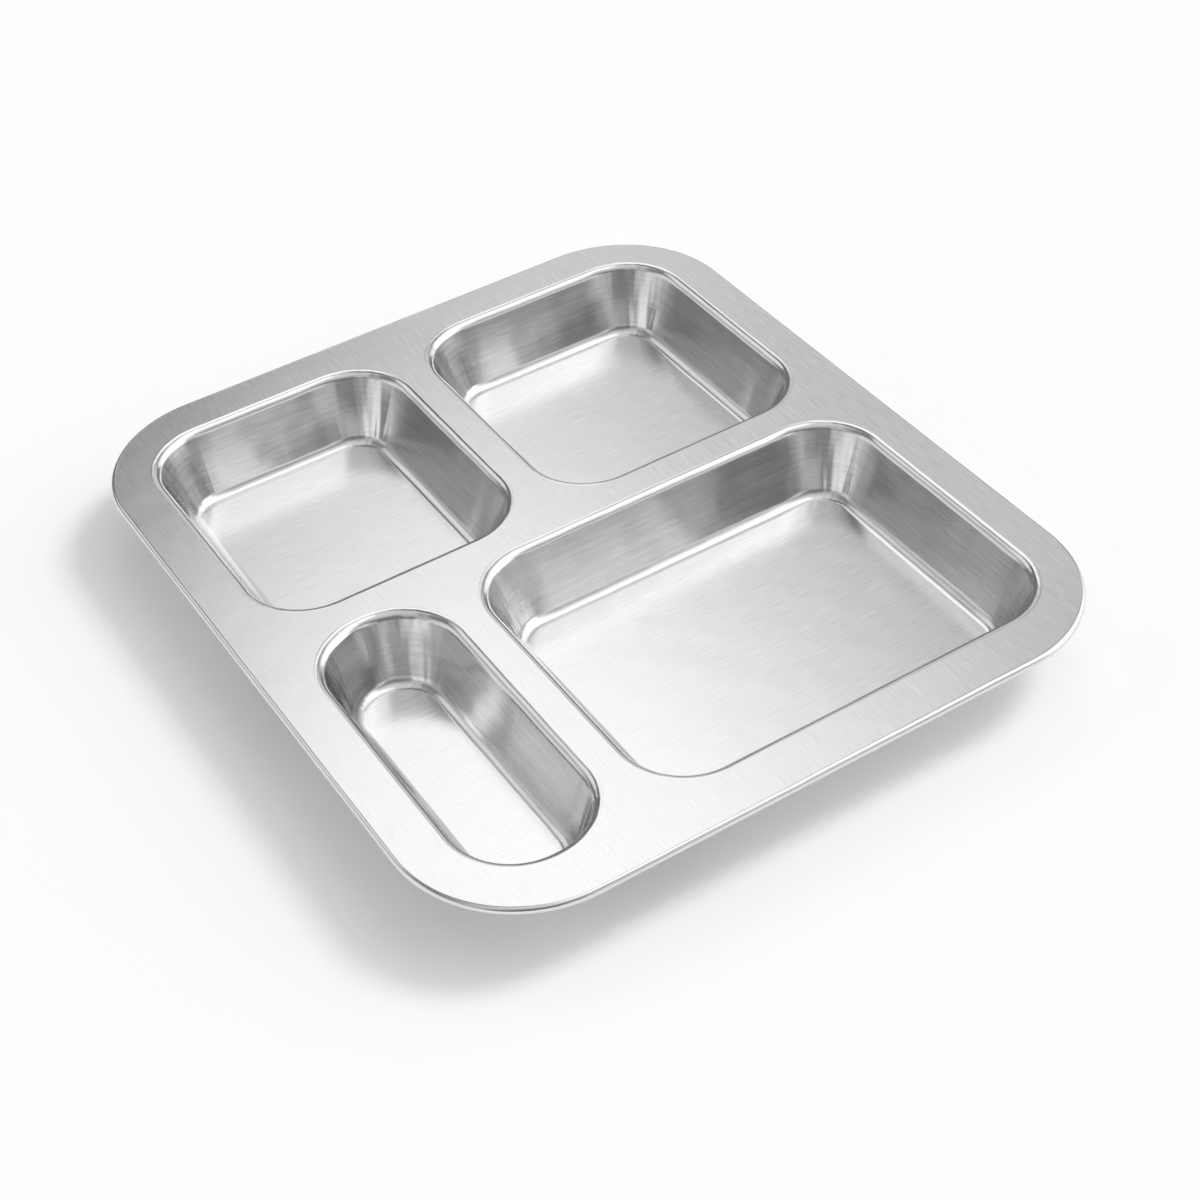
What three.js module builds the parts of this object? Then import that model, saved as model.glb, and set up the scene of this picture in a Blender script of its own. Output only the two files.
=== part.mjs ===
// Pressed steel compartment tray: one drawn sheet with four wells, a flat deck between and round them,
// and an outer edge rolled over a stiffening wire.
// Millimetres, +Z up, +X to the right, +Y to the back. The origin is under the middle of the tray,
// on the plane that the four floors stand on.
import * as THREE from "three";

// Overall sizes
const TRAY_WIDTH = 240; // along X, over the rolled edge
const TRAY_LENGTH = 273.6; // along Y, over the rolled edge
const TRAY_CORNER = 42.5; // radius of the outer corners, over the rolled edge
const SHEET = 0.6; // thickness of the steel

// Flat deck between the rolled edge and the wells, and between neighbouring wells
const FLANGE_LEFT = 15; // each flange is measured from the outer edge to the start of a lip
const FLANGE_RIGHT = 13.6;
const FLANGE_FRONT = 16.7;
const FLANGE_BACK = 14.9;
const RIB = 9.2;

// Wells, measured at the start of their lips
const BACK_ROW_LENGTH = 111.8; // along Y; the front row takes the rest
const BACK_LEFT_WIDTH = 97.6; // along X; the back right well takes the rest
const SLOT_WIDTH = 49.4; // along X; the large front well takes the rest
const WELL_DEPTH = 24; // from the deck's top down to a floor's top
const WELL_CORNER = 23.5; // corner radius of the three four-sided wells
const SLOT_CORNER = 24; // the slot's ends are almost half circles
const WELL_DRAFT = 21.5; // degrees that a wall leans out from upright
const SLOT_DRAFT = 16.5;
const LIP_RADIUS = 3.4; // top side of the bend from the deck into a wall
const FLOOR_RADIUS = 4.6; // top side of the bend from a wall into its floor

// Rolled edge and its wire
const CURL_RADIUS = 1.6; // outside of the roll
const CURL_TURN = 285; // degrees that the edge is rolled through, from the deck to its cut edge
const WIRE_CLEARANCE = 0.3;
const WIRE_BUTT_GAP = 0.6; // between the two ends of the wire, at the middle of the back edge

// Fineness of the facets
const WELL_CORNER_STEPS = 7;
const RIM_CORNER_STEPS = 10;
const BEND_STEPS = 4;
const CURL_STEPS = 19;
const WIRE_STEPS = 140;
const WIRE_SIDES = 6;

const LEAST_CORNER = 0.8; // a corner radius never falls below this as a wall runs in
const LEAST_STRAIGHT = 0.2; // shortest straight stretch left between two corners

const deckTop = WELL_DEPTH + SHEET;
const steel = { color: 0xcac8c4, roughness: 0.28, metalness: 1 };
const wireSteel = { color: 0xa9a7a3, roughness: 0.45, metalness: 1 };

// The rounded rectangle of the outer edge, which the rolled edge and the wire follow
const rim = {
  left: -TRAY_WIDTH / 2,
  right: TRAY_WIDTH / 2,
  front: -TRAY_LENGTH / 2,
  back: TRAY_LENGTH / 2,
  corner: TRAY_CORNER,
};

// The four wells as rounded rectangles at the start of their lips
function layOutWells() {
  const left = rim.left + FLANGE_LEFT;
  const right = rim.right - FLANGE_RIGHT;
  const front = rim.front + FLANGE_FRONT;
  const back = rim.back - FLANGE_BACK;
  const backRow = { front: back - BACK_ROW_LENGTH, back };
  const frontRow = { front, back: backRow.front - RIB };
  const squarish = { corner: WELL_CORNER, draft: WELL_DRAFT };
  const slot = { corner: SLOT_CORNER, draft: SLOT_DRAFT };
  return [
    { ...backRow, left, right: left + BACK_LEFT_WIDTH, ...squarish },
    { ...backRow, left: left + BACK_LEFT_WIDTH + RIB, right, ...squarish },
    { ...frontRow, left, right: left + SLOT_WIDTH, ...slot },
    { ...frontRow, left: left + SLOT_WIDTH + RIB, right, ...squarish },
  ];
}

// Points of a rounded rectangle drawn in by inset, counter-clockwise seen from above
function roundedRing(outline, inset, z, steps) {
  const left = outline.left + inset;
  const right = outline.right - inset;
  const front = outline.front + inset;
  const back = outline.back - inset;
  const roomForCorner = (Math.min(right - left, back - front) - LEAST_STRAIGHT) / 2;
  const corner = Math.min(Math.max(outline.corner - inset, LEAST_CORNER), roomForCorner);
  const centres = [
    [right - corner, back - corner],
    [left + corner, back - corner],
    [left + corner, front + corner],
    [right - corner, front + corner],
  ];
  return centres.flatMap(([x, y], quarter) =>
    Array.from({ length: steps + 1 }, (_, step) => {
      const angle = (quarter + step / steps) * (Math.PI / 2);
      return new THREE.Vector3(x + corner * Math.cos(angle), y + corner * Math.sin(angle), z);
    }),
  );
}

// Section of a well from the start of its lip to the start of its floor, as pairs of inset and height.
// below is 0 for the top side of the sheet and SHEET for the underside: both sides share the bend centres.
function wellSection(draftDegrees, below) {
  const draft = THREE.MathUtils.degToRad(draftDegrees);
  const bend = Math.PI / 2 - draft;
  const bothRadii = LIP_RADIUS + FLOOR_RADIUS;
  const wallHeight = WELL_DEPTH - bothRadii * (1 - Math.sin(draft));
  const floorStart = bothRadii * Math.cos(draft) + wallHeight * Math.tan(draft);
  const lip = [];
  const foot = [];
  for (let step = 0; step <= BEND_STEPS; step += 1) {
    const lipTurn = (bend * step) / BEND_STEPS;
    const lipRadius = LIP_RADIUS - below;
    lip.push([lipRadius * Math.sin(lipTurn), deckTop - LIP_RADIUS + lipRadius * Math.cos(lipTurn)]);
    const footTurn = bend - lipTurn;
    const footRadius = FLOOR_RADIUS + below;
    foot.push([
      floorStart - footRadius * Math.sin(footTurn),
      SHEET + FLOOR_RADIUS - footRadius * Math.cos(footTurn),
    ]);
  }
  return [...lip, ...foot];
}

// Section of the rolled edge from its cut edge back to the deck, as pairs of inset and height
function curlSection(below) {
  const radius = CURL_RADIUS - below;
  return Array.from({ length: CURL_STEPS + 1 }, (_, step) => {
    const turn = THREE.MathUtils.degToRad(CURL_TURN * (1 - step / CURL_STEPS));
    return [CURL_RADIUS - radius * Math.sin(turn), deckTop - CURL_RADIUS + radius * Math.cos(turn)];
  });
}

// One side of the sheet, from the cut edge over the deck and down to the four floors.
// Its triangles face up on the top side; the underside is the same walk with its triangles turned over.
function sheetSide(below) {
  const points = [];
  const triangles = [];
  const addRing = (ring) => {
    const start = points.length;
    points.push(...ring);
    return ring.map((_, i) => start + i);
  };
  const addBand = (outer, inner) => {
    outer.forEach((_, i) => {
      const next = (i + 1) % outer.length;
      triangles.push([outer[i], outer[next], inner[next]], [outer[i], inner[next], inner[i]]);
    });
  };
  const addRun = (outline, section, steps) => {
    const rings = section.map(([inset, z]) => addRing(roundedRing(outline, inset, z, steps)));
    rings.slice(1).forEach((ring, i) => addBand(rings[i], ring));
    return rings;
  };
  const addFlat = (outer, holes) => {
    const indices = [outer, ...holes].flat();
    const flat = (ring) => ring.map((i) => new THREE.Vector2(points[i].x, points[i].y));
    const faces = THREE.ShapeUtils.triangulateShape(flat(outer), holes.map(flat));
    triangles.push(...faces.map((face) => face.map((i) => indices[i])));
  };

  const curl = addRun(rim, curlSection(below), RIM_CORNER_STEPS);
  const wells = layOutWells().map((well) =>
    addRun(well, wellSection(well.draft, below), WELL_CORNER_STEPS),
  );
  addFlat(curl.at(-1), wells.map((rings) => rings[0]));
  wells.forEach((rings) => addFlat(rings.at(-1), []));
  return { points, triangles, cutEdge: curl[0], addBand };
}

function trayPressing() {
  const top = sheetSide(0);
  const under = sheetSide(SHEET);
  const underStart = top.points.length;
  top.points.push(...under.points);
  const onUnder = (i) => underStart + i;
  under.triangles.forEach(([a, b, c]) => top.triangles.push([a, c, b].map(onUnder)));
  top.addBand(under.cutEdge.map(onUnder), top.cutEdge);
  const geometry = new THREE.BufferGeometry().setFromPoints(top.points);
  geometry.setIndex(top.triangles.flat());
  geometry.computeVertexNormals();
  return geometry;
}

// Centre line of the wire: once round the middle of the roll, from one butt end to the other
class WirePath extends THREE.Curve {
  constructor() {
    super();
    const corner = TRAY_CORNER - CURL_RADIUS;
    this.corner = corner;
    this.halfStraightX = TRAY_WIDTH / 2 - CURL_RADIUS - corner;
    this.halfStraightY = TRAY_LENGTH / 2 - CURL_RADIUS - corner;
    this.quarter = (corner * Math.PI) / 2;
    this.around = 4 * (this.halfStraightX + this.halfStraightY + this.quarter);
  }

  // The walk is four times the same: a half side, a corner and the next half side
  getPoint(t, target = new THREE.Vector3()) {
    let walked = WIRE_BUTT_GAP / 2 + t * (this.around - WIRE_BUTT_GAP);
    let half = this.halfStraightX;
    let next = this.halfStraightY;
    let turns = 0;
    const leg = half + this.quarter + next;
    while (walked > leg) {
      walked -= leg;
      turns += 1;
      [half, next] = [next, half];
    }
    const bend = THREE.MathUtils.clamp((walked - half) / this.quarter, 0, 1) * (Math.PI / 2);
    const along = Math.min(walked, half) + this.corner * Math.sin(bend);
    const turnedIn = this.corner * (1 - Math.cos(bend)) + Math.max(walked - half - this.quarter, 0);
    const z = deckTop - CURL_RADIUS;
    target.set(-along, next + this.corner - turnedIn, z);
    return target.applyAxisAngle(new THREE.Vector3(0, 0, 1), (turns * Math.PI) / 2);
  }
}

function rimWire() {
  const section = new THREE.Shape();
  section.absarc(0, 0, CURL_RADIUS - SHEET - WIRE_CLEARANCE, 0, Math.PI * 2);
  return new THREE.ExtrudeGeometry(section, {
    steps: WIRE_STEPS,
    curveSegments: WIRE_SIDES / 2,
    extrudePath: new WirePath(),
  });
}

function addPiece(group, name, geometry, look) {
  const mesh = new THREE.Mesh(geometry, new THREE.MeshStandardMaterial(look));
  mesh.name = name;
  group.add(mesh);
}

const tray = new THREE.Group();
addPiece(tray, "tray_pressing", trayPressing(), steel);
addPiece(tray, "rim_wire", rimWire(), wireSteel);

export default tray;
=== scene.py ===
"""Looks of the pressed steel compartment tray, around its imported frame. Metres, +Z up, +Y to the back."""
import math

import bpy
from mathutils import Matrix, Vector
from mathutils.geometry import tessellate_polygon


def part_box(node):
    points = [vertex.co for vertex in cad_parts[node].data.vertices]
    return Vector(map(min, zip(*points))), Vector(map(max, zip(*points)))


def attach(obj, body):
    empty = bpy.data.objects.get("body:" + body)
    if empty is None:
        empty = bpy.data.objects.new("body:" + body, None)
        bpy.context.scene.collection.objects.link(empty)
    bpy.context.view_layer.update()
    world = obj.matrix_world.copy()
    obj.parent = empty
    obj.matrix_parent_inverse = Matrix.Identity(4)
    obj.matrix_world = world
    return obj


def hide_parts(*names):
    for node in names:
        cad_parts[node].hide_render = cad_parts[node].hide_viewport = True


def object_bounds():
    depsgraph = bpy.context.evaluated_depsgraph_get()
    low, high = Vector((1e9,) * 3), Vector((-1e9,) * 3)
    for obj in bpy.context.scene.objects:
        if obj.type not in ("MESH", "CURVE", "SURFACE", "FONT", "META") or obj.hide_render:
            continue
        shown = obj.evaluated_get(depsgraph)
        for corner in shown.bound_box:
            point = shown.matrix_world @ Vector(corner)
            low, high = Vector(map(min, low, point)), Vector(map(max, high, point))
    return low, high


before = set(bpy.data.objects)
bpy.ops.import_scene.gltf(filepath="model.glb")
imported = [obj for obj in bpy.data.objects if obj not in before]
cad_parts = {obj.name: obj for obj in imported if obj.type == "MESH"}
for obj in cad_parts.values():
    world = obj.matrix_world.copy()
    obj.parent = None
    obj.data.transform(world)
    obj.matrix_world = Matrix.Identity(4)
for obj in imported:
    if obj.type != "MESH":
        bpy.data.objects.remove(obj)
cad_low, cad_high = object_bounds()

MM = 0.001
UP = Vector((0, 0, 1))
QUARTER_TURN = math.pi / 2
CORNERS = 4

# Sheet and outline: the overall sizes come from the frame
outline_low, outline_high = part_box("tray_pressing")
DECK_TOP = outline_high.z
SHEET = 0.6 * MM
TRAY_CORNER = 42.5 * MM

# Flat deck between the rolled edge and the wells, and between neighbouring wells
FLANGE_LEFT = 15 * MM
FLANGE_RIGHT = 13.6 * MM
FLANGE_FRONT = 16.7 * MM
FLANGE_BACK = 14.9 * MM
RIB = 9.2 * MM

# Wells, measured at the start of their lips
BACK_ROW_LENGTH = 111.8 * MM
BACK_LEFT_WIDTH = 97.6 * MM
SLOT_WIDTH = 49.4 * MM
WELL_CORNER = 23.5 * MM
SLOT_CORNER = 24 * MM
WELL_DRAFT = math.radians(21.5)
SLOT_DRAFT = math.radians(16.5)
LIP_RADIUS = 3.4 * MM
FOOT_RADIUS = 4.6 * MM
LEAST_CORNER = 0.8 * MM

# Length over which the bend of a corner fades into the straights, on either side of its ends
CORNER_EASE = 7 * MM

# Rolled edge and its wire
CURL_RADIUS = 1.6 * MM
CURL_TURN = math.radians(285)
WIRE_RADIUS = 0.7 * MM
WIRE_BUTT_GAP = 0.6 * MM

# Fineness of the meshes
CORNER_STEPS = 20
BEND_STEPS = 12
CURL_STEPS = 38
WIRE_SIDES = 14

# Sides of the sheet, and the axes that a flat is brushed across
TOP = 1
UNDERSIDE = -1
X_AXIS = 0
Y_AXIS = 1

# Roughness of the sheet: the pressing tool burnished its lips and left its feet duller
FLAT_ROUGHNESS = 0.2
WALL_ROUGHNESS = 0.18
LIP_ROUGHNESS = 0.15
FOOT_ROUGHNESS = 0.22

# Brushed sheet: its tone and its marks, with two sizes across the brush lines and along them, or with
# three along X, Y and Z
STEEL_GREY = 0.77
STEEL_ANISOTROPY = 0.45
FINE_LINE = {"sizes": (0.3 * MM, 10 * MM), "detail": 2.0, "roughness": 0.6}
BROAD_LINE = {"sizes": (1.2 * MM, 40 * MM), "detail": 2.0, "roughness": 0.5}
PUCKER = {"sizes": (25 * MM, 6 * MM), "detail": 1.0, "roughness": 0.4}
CLOUD = {"sizes": (45 * MM, 45 * MM, 45 * MM), "detail": 3.0, "roughness": 0.55}
WAVE = {"sizes": (16 * MM, 16 * MM, 16 * MM), "detail": 1.0, "roughness": 0.4}

# How strongly the marks show in tone, roughness and relief; a pair holds for the flats and the walls
BROAD_LINE_SHARE = (0.05, 0.5)
LINE_TONE = (0.3, 0.36)
CLOUD_TONE = 0.03
LINE_ROUGHNESS = 0.1
CLOUD_ROUGHNESS = 0.05
PUCKER_ROUGHNESS = 0.06
LINE_HEIGHT = 0.004 * MM
PUCKER_HEIGHT = 0.6 * MM
WAVE_HEIGHT = 0.05 * MM
WAVE_GROWTH = (1.0, 7.0)

# Dull wire, with marks from its drawing
WIRE_COLOUR = (0.42, 0.41, 0.40, 1)
WIRE_ROUGHNESS = 0.42
DRAW_MARK = {"sizes": (0.4 * MM, 0.4 * MM, 0.4 * MM), "detail": 3.0, "roughness": 0.6}
DRAW_MARK_ROUGHNESS = 0.3
DRAW_MARK_HEIGHT = 0.004 * MM

# Paper floor: flat round the tray, rising from there to its far edge
PAPER_WHITE = 0.85
PAPER_ROUGHNESS = 0.9
PAPER_GLOSS = 0.1
PAPER_GLOW = 0.14
PAPER_FLAT = 5
PAPER_REACH = 15
PAPER_RISE = 0.4
PAPER_SIDES = 48
PAPER_CLEARANCE = 0.05 * MM

# Soft panels round the tray and dark gaps among them: azimuth and elevation of the middle, the angles from
# the middle at which it starts to fade and has faded out, all in degrees, and its level over the room's,
# which is negative for a gap
ROOM_LEVEL = 0.24
PANELS = {
    "back_panel": (23, 53, 7, 19, 1.44),
    "back_glow": (38, 30, 3, 20, 0.71),
    "right_gap": (36, 40, 2, 7, -0.45),
    "left_gap": (5, 45, 4, 9, -0.85),
    "high_gap": (4, 67, 5, 12, -1.0),
    "back_left": (335, 39, 8, 19, 0.95),
    "left_panel": (291, 4, 9, 43, 0.88),
    "left_low": (251, 7, 9, 20, 0.42),
    "left_high": (247, 40, 7, 23, 0.42),
    "right_panel": (105, 27, 20, 45, 1.46),
    "right_low": (124, 15, 6, 16, 0.5),
    "right_top": (112, 70, 9, 17, 0.85),
    "front_panel": (160, 20, 5, 16, 0.75),
    "front_low": (175, 11, 7, 16, 0.45),
    "ceiling": (157, 79, 10, 49, 0.72),
}

# Soft key light, kept out of the reflections: it lights the floor and throws the tray's shadow there
KEY_AZIMUTH = 96
KEY_ELEVATION = 48
KEY_WIDTH = math.radians(18)
KEY_STRENGTH = 1.15

# Camera of the photograph: it looks at a point of the deck
CAMERA_AZIMUTH = math.radians(-29.92)
CAMERA_ELEVATION = math.radians(41.8)
CAMERA_ROLL = math.radians(-4.02)
CAMERA_TARGET = Vector((-14.31 * MM, -36.94 * MM, DECK_TOP))
CAMERA_DISTANCE = 704.2 * MM
IMAGE_WIDTH = 1200
FOCAL_PIXELS = 2252.2
SENSOR_WIDTH = 36


def blend(first, second, share):
    """Value at a share of the way from the first to the second."""
    return first + (second - first) * share


def planar(angle):
    """Unit vector in the plane of the deck, at an angle from +X towards +Y."""
    return Vector((math.cos(angle), math.sin(angle), 0))


def direction_to(azimuth, elevation):
    """Unit vector at an azimuth from +Y towards +X and an elevation, both in degrees."""
    a = math.radians(azimuth)
    e = math.radians(elevation)
    return Vector((math.sin(a) * math.cos(e), math.cos(a) * math.cos(e), math.sin(e)))


def ramp_area(walked, length):
    """Area under a ramp that rises from 0 to 1 along a length and stays there."""
    inside = min(max(walked, 0.0), length)
    return inside * inside / (2 * length) + max(walked - length, 0.0)


def eased_share(walked, length, ease):
    """Share of a corner's turn reached at a distance along it, when the bend fades into the straights."""
    return (ramp_area(walked + ease, length) - ramp_area(walked - ease, length)) / (2 * ease)


def corner_shares():
    """How far each point of a ring is into its corner, from 0 at the straights to 1 halfway round."""
    on_arc = [math.sin(math.pi * step / CORNER_STEPS) for step in range(CORNER_STEPS + 1)]
    return ([0.0] + on_arc + [0.0]) * CORNERS


class Outline:
    """A rounded rectangle."""

    def __init__(self, left, right, front, back, corner):
        self.left = left
        self.right = right
        self.front = front
        self.back = back
        self.corner = corner

    def ring(self, inset, z):
        """Points drawn in by inset, counter-clockwise from above, each with its outward direction.

        A corner also has one point on the straight before it and one on the straight after it. The outward
        directions turn gradually between those two.
        """
        corner = max(self.corner - inset, LEAST_CORNER)
        left = self.left + inset + corner
        right = self.right - inset - corner
        front = self.front + inset + corner
        back = self.back - inset - corner
        centres = ((right, back), (left, back), (left, front), (right, front))
        length = corner * QUARTER_TURN
        eases = [min(CORNER_EASE, side / 2, length / 2) for side in (back - front, right - left)]
        steps = [length * step / CORNER_STEPS for step in range(CORNER_STEPS + 1)]
        points = []
        outward = []
        for quarter, (x, y) in enumerate(centres):
            start = quarter * QUARTER_TURN
            ease_in = eases[quarter % 2]
            ease_out = eases[1 - quarter % 2]
            for walked in [-ease_in] + steps + [length + ease_out]:
                on_arc = min(max(walked, 0.0), length)
                angle = start + on_arc / corner
                past_arc = (walked - on_arc) * planar(angle + QUARTER_TURN)
                points.append(Vector((x, y, z)) + corner * planar(angle) + past_arc)
                ease = ease_in if walked < length / 2 else ease_out
                outward.append(planar(start + eased_share(walked, length, ease) * QUARTER_TURN))
        return points, outward


rim = Outline(outline_low.x, outline_high.x, outline_low.y, outline_high.y, TRAY_CORNER)


def lay_out_wells():
    """The four wells as pairs of outline and wall draft."""
    left = rim.left + FLANGE_LEFT
    right = rim.right - FLANGE_RIGHT
    front = rim.front + FLANGE_FRONT
    back = rim.back - FLANGE_BACK
    back_row = back - BACK_ROW_LENGTH
    front_row = back_row - RIB
    return [
        (Outline(left, left + BACK_LEFT_WIDTH, back_row, back, WELL_CORNER), WELL_DRAFT),
        (Outline(left + BACK_LEFT_WIDTH + RIB, right, back_row, back, WELL_CORNER), WELL_DRAFT),
        (Outline(left, left + SLOT_WIDTH, front, front_row, SLOT_CORNER), SLOT_DRAFT),
        (Outline(left + SLOT_WIDTH + RIB, right, front, front_row, WELL_CORNER), WELL_DRAFT),
    ]


class Station:
    """One ring of a section: its inset and height, the lean of its normal inwards, and its finish.

    The finish is a roughness, how far the sheet was drawn, from 0 on a flat to 1 on a wall, and how far it
    puckered in the corners.
    """

    def __init__(self, inset, z, lean, roughness, drawn, pucker):
        self.inset = inset
        self.z = z
        self.lean = lean
        self.roughness = roughness
        self.drawn = drawn
        self.pucker = pucker


def well_section(draft, below):
    """From the start of the lip to the start of the floor, on the sheet's top or below it."""
    bend = QUARTER_TURN - draft
    both_radii = LIP_RADIUS + FOOT_RADIUS
    well_depth = DECK_TOP - SHEET
    wall_height = well_depth - both_radii * (1 - math.sin(draft))
    floor_start = both_radii * math.cos(draft) + wall_height * math.tan(draft)
    lip_radius = LIP_RADIUS - below
    foot_radius = FOOT_RADIUS + below
    lip = []
    foot = []
    for step in range(BEND_STEPS + 1):
        share = step / BEND_STEPS
        turn = bend * share
        bent = math.sin(math.pi * share)
        unbent_roughness = blend(FLAT_ROUGHNESS, WALL_ROUGHNESS, share)
        lip_z = DECK_TOP - LIP_RADIUS + lip_radius * math.cos(turn)
        lip_roughness = blend(unbent_roughness, LIP_ROUGHNESS, bent)
        lip.append(Station(lip_radius * math.sin(turn), lip_z, turn, lip_roughness, share, share))
        foot_z = SHEET + FOOT_RADIUS - foot_radius * math.cos(turn)
        foot_inset = floor_start - foot_radius * math.sin(turn)
        foot_roughness = blend(unbent_roughness, FOOT_ROUGHNESS, bent)
        foot.append(Station(foot_inset, foot_z, turn, foot_roughness, share, share))
    return lip + foot[::-1]


def curl_section(below):
    """From the cut edge back to the deck, on the sheet's outside or below it."""
    radius = CURL_RADIUS - below
    section = []
    for step in range(CURL_STEPS + 1):
        turn = CURL_TURN * (1 - step / CURL_STEPS)
        inset = CURL_RADIUS - radius * math.sin(turn)
        z = DECK_TOP - CURL_RADIUS + radius * math.cos(turn)
        drawn = math.sin(min(turn, QUARTER_TURN))
        roughness = blend(FLAT_ROUGHNESS, LIP_ROUGHNESS, drawn)
        section.append(Station(inset, z, -turn, roughness, drawn, 0.0))
    return section


def closed_lengths(points):
    """Distance walked to each point of a closed ring, and once round to the first."""
    walked = [0.0]
    for point, following in zip(points, points[1:] + points[:1]):
        walked.append(walked[-1] + (following - point).length)
    return walked


def add_mesh(name, points, faces, normals):
    mesh = bpy.data.meshes.new(name)
    mesh.from_pydata(points, [], faces)
    mesh.shade_smooth()
    mesh.normals_split_custom_set_from_vertices(normals)
    obj = bpy.data.objects.new(name, mesh)
    bpy.context.scene.collection.objects.link(obj)
    return obj


class SheetMesh:
    """Collects the points, normals, finish, faces and brush coordinates of the pressing.

    The brush coordinates run across the brush lines first and along them second, in metres.
    """

    def __init__(self):
        self.points = []
        self.normals = []
        self.roughness = []
        self.drawn = []
        self.pucker = []
        self.faces = []
        self.brush = []

    def add_ring(self, points, normals, station):
        start = len(self.points)
        self.points += points
        self.normals += normals
        self.roughness += [station.roughness] * len(points)
        self.drawn += [station.drawn] * len(points)
        self.pucker += [station.pucker * share for share in corner_shares()]
        return list(range(start, start + len(points)))

    def add_face(self, corners, brush, facing):
        """Corners run counter-clockwise seen from the sheet's top, and are turned round for its underside."""
        self.faces.append(corners[::facing])
        self.brush.append(brush[::facing])

    def add_band(self, outer, inner, across, along, facing):
        """Faces between two rings, brushed along them; across and along are the brush coordinates."""
        start, end = across
        for i in range(len(outer)):
            j = (i + 1) % len(outer)
            corners = [outer[i], outer[j], inner[j], inner[i]]
            brush = [(start, along[i]), (start, along[i + 1]), (end, along[i + 1]), (end, along[i])]
            self.add_face(corners, brush, facing)

    def add_run(self, outline, section, facing):
        """Rings along a section with bands between them."""
        rings = []
        for station in section:
            points, outward = outline.ring(station.inset, station.z)
            rise = UP * math.cos(station.lean)
            normals = [facing * (rise - math.sin(station.lean) * direction) for direction in outward]
            rings.append(self.add_ring(points, normals, station))
        along = closed_lengths([self.points[i] for i in rings[0]])
        across = 0.0
        for i in range(len(rings) - 1):
            before, after = section[i], section[i + 1]
            reached = across + math.hypot(after.inset - before.inset, after.z - before.z)
            self.add_band(rings[i], rings[i + 1], (across, reached), along, facing)
            across = reached
        return rings

    def add_flat(self, loops, across_axis, facing):
        """A flat area inside the first loop and outside the others, brushed square to across_axis."""
        indices = [i for loop in loops for i in loop]
        flat = [[self.points[i] for i in loop] for loop in loops]
        for triangle in tessellate_polygon(flat):
            corners = [indices[i] for i in triangle]
            a, b, c = (self.points[i] for i in corners)
            if (b - a).cross(c - a).z < 0:
                corners.reverse()
            brush = [(self.points[i][across_axis], self.points[i][1 - across_axis]) for i in corners]
            self.add_face(corners, brush, facing)

    def build(self, name):
        obj = add_mesh(name, self.points, self.faces, self.normals)
        layer = obj.data.uv_layers.new(name="brush")
        layer.data.foreach_set("uv", [value for face in self.brush for corner in face for value in corner])
        finish = {"roughness": self.roughness, "drawn": self.drawn, "pucker": self.pucker}
        for label, values in finish.items():
            obj.data.attributes.new(label, "FLOAT", "POINT").data.foreach_set("value", values)
        return obj


def add_sheet_side(sheet, below, facing):
    """One side of the sheet, from the cut edge over the deck to the four floors; gives its cut edge."""
    curl = sheet.add_run(rim, curl_section(below), facing)
    wells = []
    for outline, draft in lay_out_wells():
        wells.append(sheet.add_run(outline, well_section(draft, below), facing))
    sheet.add_flat([curl[-1]] + [rings[0] for rings in wells], X_AXIS, facing)
    for rings in wells:
        sheet.add_flat([rings[-1]], Y_AXIS, facing)
    return curl[0]


def tray_pressing():
    """Both sides of the sheet, joined along the cut edge of its roll."""
    sheet = SheetMesh()
    top_edge = add_sheet_side(sheet, 0, TOP)
    under_edge = add_sheet_side(sheet, SHEET, UNDERSIDE)
    along = closed_lengths([sheet.points[i] for i in top_edge])
    sheet.add_band(under_edge, top_edge, (0.0, SHEET), along, TOP)
    return sheet.build("pressed_sheet")


def wire_path():
    """Centres of the wire with their outward directions, once round between its butted ends at the back."""
    centres, outward = rim.ring(CURL_RADIUS, DECK_TOP - CURL_RADIUS)
    opening = len(centres) // CORNERS
    back_middle = (centres[opening - 1] + centres[opening]) / 2
    half_gap = Vector((WIRE_BUTT_GAP / 2, 0, 0))
    backwards = outward[opening]
    centres = [back_middle - half_gap] + centres[opening:] + centres[:opening] + [back_middle + half_gap]
    outward = [backwards] + outward[opening:] + outward[:opening] + [backwards]
    return centres, outward


def rim_wire():
    """The wire in the roll, round along its path and closed at both ends."""
    centres, outward = wire_path()
    points = []
    normals = []
    faces = []
    for centre, direction in zip(centres, outward):
        for side in range(WIRE_SIDES):
            angle = side / WIRE_SIDES * math.tau
            normal = math.cos(angle) * direction + math.sin(angle) * UP
            points.append(centre + WIRE_RADIUS * normal)
            normals.append(normal)
    for ring in range(len(centres) - 1):
        for side in range(WIRE_SIDES):
            a = ring * WIRE_SIDES + side
            b = ring * WIRE_SIDES + (side + 1) % WIRE_SIDES
            faces.append([a, a + WIRE_SIDES, b + WIRE_SIDES, b])
    first_end = list(range(WIRE_SIDES))
    last_end = [len(points) - WIRE_SIDES + side for side in first_end]
    faces += [first_end, last_end[::-1]]
    return add_mesh("stiffening_wire", points, faces, normals)


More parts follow.
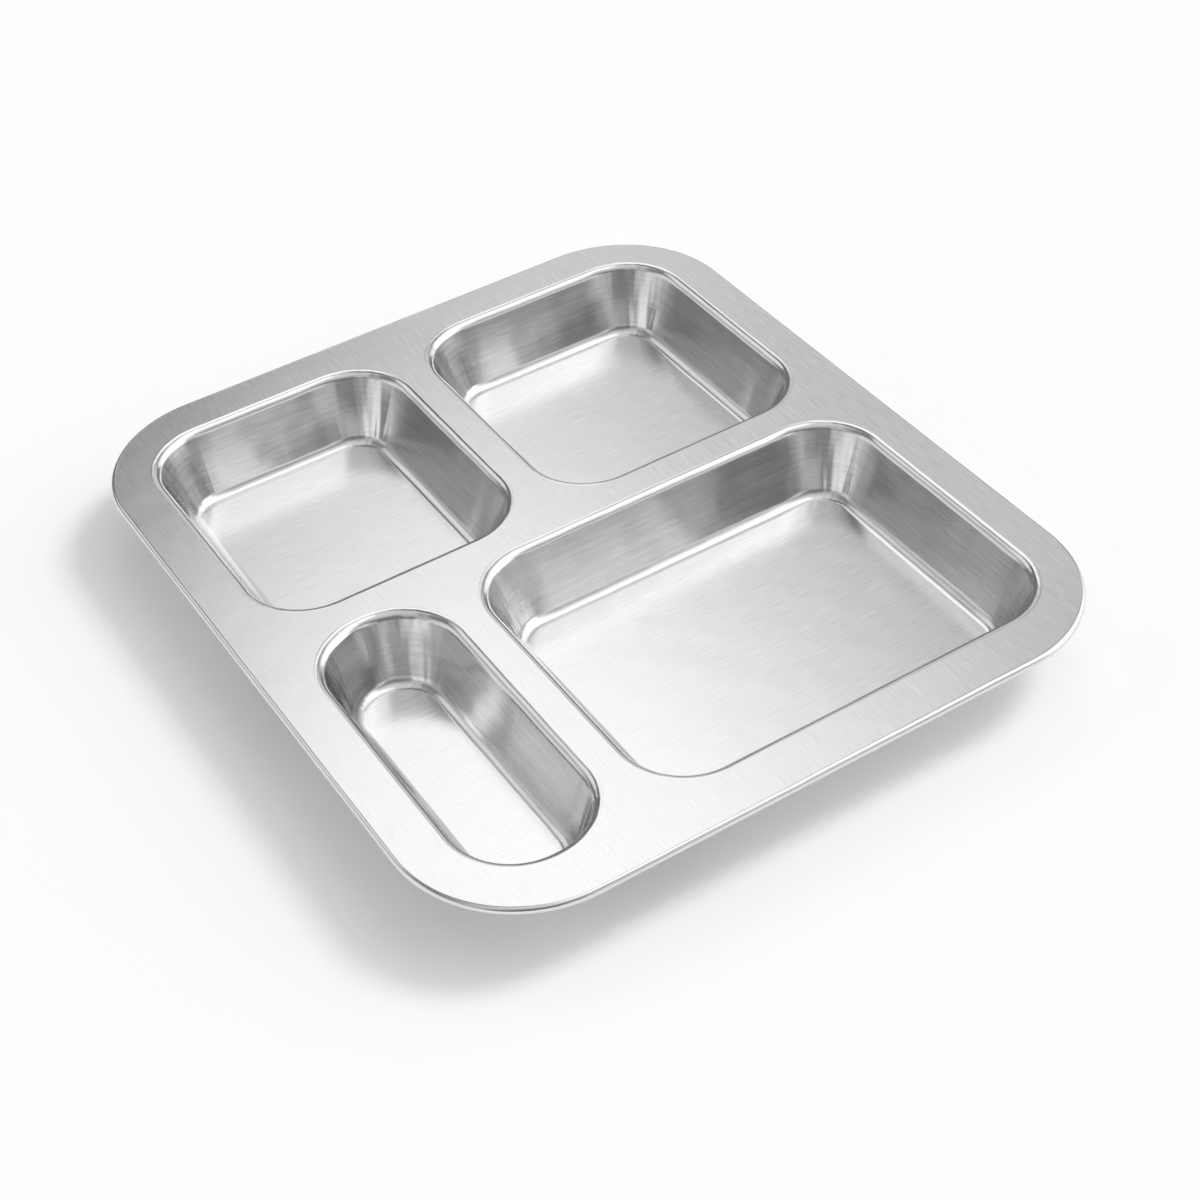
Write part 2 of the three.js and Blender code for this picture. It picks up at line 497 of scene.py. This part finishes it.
class Nodes:
    """Short calls that make and link the nodes of one node tree."""

    def __init__(self, tree):
        self.tree = tree
        self.tree.nodes.clear()

    def add(self, kind, **settings):
        node = self.tree.nodes.new(kind)
        for name, value in settings.items():
            setattr(node, name, value)
        return node

    def link(self, source, target):
        self.tree.links.new(source, target)

    def put(self, value, socket):
        """A number goes onto the socket itself, another socket is linked to it."""
        if isinstance(value, (int, float)):
            socket.default_value = value
        else:
            self.link(value, socket)

    def calculate(self, operation, first, second):
        node = self.add("ShaderNodeMath", operation=operation)
        self.put(first, node.inputs[0])
        self.put(second, node.inputs[1])
        return node.outputs[0]

    def total(self, first, *others):
        for other in others:
            first = self.calculate("ADD", first, other)
        return first

    def mix(self, share, first, second):
        node = self.add("ShaderNodeMix", data_type="FLOAT")
        self.put(share, node.inputs["Factor"])
        self.put(first, node.inputs["A"])
        self.put(second, node.inputs["B"])
        return node.outputs["Result"]

    def attribute(self, name):
        return self.add("ShaderNodeAttribute", attribute_name=name).outputs["Fac"]

    def noise(self, vector, sizes, detail, roughness):
        """Noise with marks of the given sizes along the first axes of a vector."""
        counted = self.add("ShaderNodeMapping")
        for axis, size in enumerate(sizes):
            counted.inputs["Scale"].default_value[axis] = 1 / size
        self.link(vector, counted.inputs["Vector"])
        node = self.add("ShaderNodeTexNoise")
        node.inputs["Scale"].default_value = 1.0
        node.inputs["Detail"].default_value = detail
        node.inputs["Roughness"].default_value = roughness
        self.link(counted.outputs["Vector"], node.inputs["Vector"])
        return node.outputs["Fac"]

    def spread(self, value, amount):
        """A noise value of mean one half, spread about zero."""
        return self.calculate("MULTIPLY", self.calculate("SUBTRACT", value, 0.5), amount)

    def bump(self, height, distance, under=None):
        node = self.add("ShaderNodeBump")
        node.inputs["Strength"].default_value = 1.0
        node.inputs["Distance"].default_value = distance
        self.put(height, node.inputs["Height"])
        if under:
            self.link(under, node.inputs["Normal"])
        return node.outputs["Normal"]


def new_material(name):
    """Gives a material, its nodes and its shader."""
    material = bpy.data.materials.new(name)
    material.use_nodes = True
    nodes = Nodes(material.node_tree)
    output = nodes.add("ShaderNodeOutputMaterial")
    shader = nodes.add("ShaderNodeBsdfPrincipled")
    nodes.link(shader.outputs["BSDF"], output.inputs["Surface"])
    return material, nodes, shader


def steel_tone(nodes, lines, cloud, drawn):
    """Grey with brush lines and faint clouds."""
    line_tone = nodes.spread(lines, nodes.mix(drawn, *LINE_TONE))
    tone = nodes.total(line_tone, nodes.spread(cloud, CLOUD_TONE), STEEL_GREY)
    colour = nodes.add("ShaderNodeCombineColor")
    for channel in ("Red", "Green", "Blue"):
        nodes.link(tone, colour.inputs[channel])
    return colour.outputs["Color"]


def steel_roughness(nodes, lines, cloud, pucker):
    """Roughness of the sheet, varied by its lines and clouds, and higher where a corner puckered."""
    grain = nodes.total(nodes.spread(lines, LINE_ROUGHNESS), nodes.spread(cloud, CLOUD_ROUGHNESS))
    dulled = nodes.calculate("MULTIPLY", pucker, PUCKER_ROUGHNESS)
    return nodes.total(grain, dulled, nodes.attribute("roughness"))


def steel_relief(nodes, lines, wave, puckers):
    """Normals with shallow waves, puckers over them and the brush lines over both."""
    waved = nodes.bump(wave, WAVE_HEIGHT)
    puckered = nodes.bump(puckers, PUCKER_HEIGHT, waved)
    return nodes.bump(lines, LINE_HEIGHT, puckered)


def brushed_steel():
    """Satin sheet, wavier on its walls than on its flats and puckered in the corners of its wells."""
    material, nodes, shader = new_material("fine_brushed_steel")
    shader.inputs["Metallic"].default_value = 1.0
    shader.inputs["Anisotropic"].default_value = STEEL_ANISOTROPY
    across = nodes.add("ShaderNodeTangent", direction_type="UV_MAP", uv_map="brush")
    nodes.link(across.outputs["Tangent"], shader.inputs["Tangent"])
    brush = nodes.add("ShaderNodeUVMap", uv_map="brush").outputs["UV"]
    place = nodes.add("ShaderNodeTexCoord").outputs["Object"]
    drawn = nodes.attribute("drawn")
    pucker = nodes.attribute("pucker")
    broad_share = nodes.mix(drawn, *BROAD_LINE_SHARE)
    lines = nodes.mix(broad_share, nodes.noise(brush, **FINE_LINE), nodes.noise(brush, **BROAD_LINE))
    cloud = nodes.noise(place, **CLOUD)
    wave = nodes.calculate("MULTIPLY", nodes.noise(place, **WAVE), nodes.mix(drawn, *WAVE_GROWTH))
    puckers = nodes.calculate("MULTIPLY", nodes.noise(brush, **PUCKER), pucker)
    nodes.link(steel_tone(nodes, lines, cloud, drawn), shader.inputs["Base Color"])
    nodes.link(steel_roughness(nodes, lines, cloud, pucker), shader.inputs["Roughness"])
    nodes.link(steel_relief(nodes, lines, wave, puckers), shader.inputs["Normal"])
    return material


def drawn_wire():
    material, nodes, shader = new_material("dull_drawn_wire")
    shader.inputs["Metallic"].default_value = 1.0
    shader.inputs["Base Color"].default_value = WIRE_COLOUR
    place = nodes.add("ShaderNodeTexCoord").outputs["Object"]
    marks = nodes.noise(place, **DRAW_MARK)
    roughness = nodes.total(nodes.spread(marks, DRAW_MARK_ROUGHNESS), WIRE_ROUGHNESS)
    nodes.link(roughness, shader.inputs["Roughness"])
    nodes.link(nodes.bump(marks, DRAW_MARK_HEIGHT), shader.inputs["Normal"])
    return material


def floor_material():
    """Matt white paper, lifted a little where the camera, metal or glass sees it."""
    material, nodes, shader = new_material("studio_floor")
    shader.inputs["Base Color"].default_value = (PAPER_WHITE, PAPER_WHITE, PAPER_WHITE, 1)
    shader.inputs["Roughness"].default_value = PAPER_ROUGHNESS
    shader.inputs["Specular IOR Level"].default_value = PAPER_GLOSS
    ray = nodes.add("ShaderNodeLightPath").outputs
    seen = nodes.calculate("MAXIMUM", ray["Is Camera Ray"], ray["Is Glossy Ray"])
    seen = nodes.calculate("MAXIMUM", seen, ray["Is Transmission Ray"])
    shader.inputs["Emission Color"].default_value = (1, 1, 1, 1)
    nodes.link(nodes.calculate("MULTIPLY", seen, PAPER_GLOW), shader.inputs["Emission Strength"])
    return material


def add_floor():
    """A wide sheet of paper, flat under the tray and rising far away, where it hides the horizon."""
    level = cad_low.z - PAPER_CLEARANCE
    points = []
    for radius, height in ((PAPER_FLAT, level), (PAPER_REACH, level + PAPER_RISE)):
        for side in range(PAPER_SIDES):
            points.append(radius * planar(side / PAPER_SIDES * math.tau) + height * UP)
    faces = [list(range(PAPER_SIDES))]
    for side in range(PAPER_SIDES):
        following = (side + 1) % PAPER_SIDES
        faces.append([side, side + PAPER_SIDES, following + PAPER_SIDES, following])
    floor = add_mesh("studio_floor", points, faces, [UP] * len(points))
    floor.data.materials.append(floor_material())


def soft_panel(nodes, direction, azimuth, elevation, full, faded, level):
    """Level that one panel or gap adds in each direction."""
    nearness = nodes.add("ShaderNodeVectorMath", operation="DOT_PRODUCT")
    nodes.link(direction, nearness.inputs[0])
    nearness.inputs[1].default_value = direction_to(azimuth, elevation)
    fade = nodes.add("ShaderNodeMapRange", interpolation_type="SMOOTHSTEP")
    nodes.link(nearness.outputs["Value"], fade.inputs["Value"])
    fade.inputs["From Min"].default_value = math.cos(math.radians(faded))
    fade.inputs["From Max"].default_value = math.cos(math.radians(full))
    fade.inputs["To Max"].default_value = level
    return fade.outputs["Result"]


def light_room():
    """The room as a sky of one level with soft panels and gaps on it, nowhere below black."""
    world = bpy.data.worlds.new("studio")
    bpy.context.scene.world = world
    world.use_nodes = True
    nodes = Nodes(world.node_tree)
    output = nodes.add("ShaderNodeOutputWorld")
    background = nodes.add("ShaderNodeBackground")
    nodes.link(background.outputs["Background"], output.inputs["Surface"])
    direction = nodes.add("ShaderNodeTexCoord").outputs["Generated"]
    level = nodes.total(ROOM_LEVEL, *(soft_panel(nodes, direction, *panel) for panel in PANELS.values()))
    nodes.link(nodes.calculate("MAXIMUM", level, 0.0), background.inputs["Strength"])


def add_key_lamp():
    data = bpy.data.lights.new("key_lamp", "SUN")
    data.energy = KEY_STRENGTH
    data.angle = KEY_WIDTH
    lamp = bpy.data.objects.new("key_lamp", data)
    lamp.visible_glossy = False
    lamp.rotation_mode = "QUATERNION"
    lamp.rotation_quaternion = direction_to(KEY_AZIMUTH, KEY_ELEVATION).to_track_quat("Z", "Y")
    bpy.context.scene.collection.objects.link(lamp)


def add_camera():
    a = CAMERA_AZIMUTH
    e = CAMERA_ELEVATION
    back = Vector((math.sin(a) * math.cos(e), -math.cos(a) * math.cos(e), math.sin(e)))
    level_right = planar(a)
    level_up = back.cross(level_right)
    right = level_right * math.cos(CAMERA_ROLL) + level_up * math.sin(CAMERA_ROLL)
    up = level_up * math.cos(CAMERA_ROLL) - level_right * math.sin(CAMERA_ROLL)
    data = bpy.data.cameras.new("camera")
    data.sensor_width = SENSOR_WIDTH
    data.lens = SENSOR_WIDTH * FOCAL_PIXELS / IMAGE_WIDTH
    camera = bpy.data.objects.new("camera", data)
    turn = Matrix((right, up, back)).transposed()
    camera.matrix_world = Matrix.Translation(CAMERA_TARGET + back * CAMERA_DISTANCE) @ turn.to_4x4()
    bpy.context.scene.collection.objects.link(camera)
    bpy.context.scene.camera = camera


def dress(piece, node, material):
    """A piece that stands for a CAD node and rides where it does."""
    piece.data.materials.append(material)
    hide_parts(node)
    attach(piece, "root")


dress(tray_pressing(), "tray_pressing", brushed_steel())
dress(rim_wire(), "rim_wire", drawn_wire())
add_floor()
light_room()
add_key_lamp()
add_camera()
bpy.context.scene.view_settings.view_transform = "Standard"
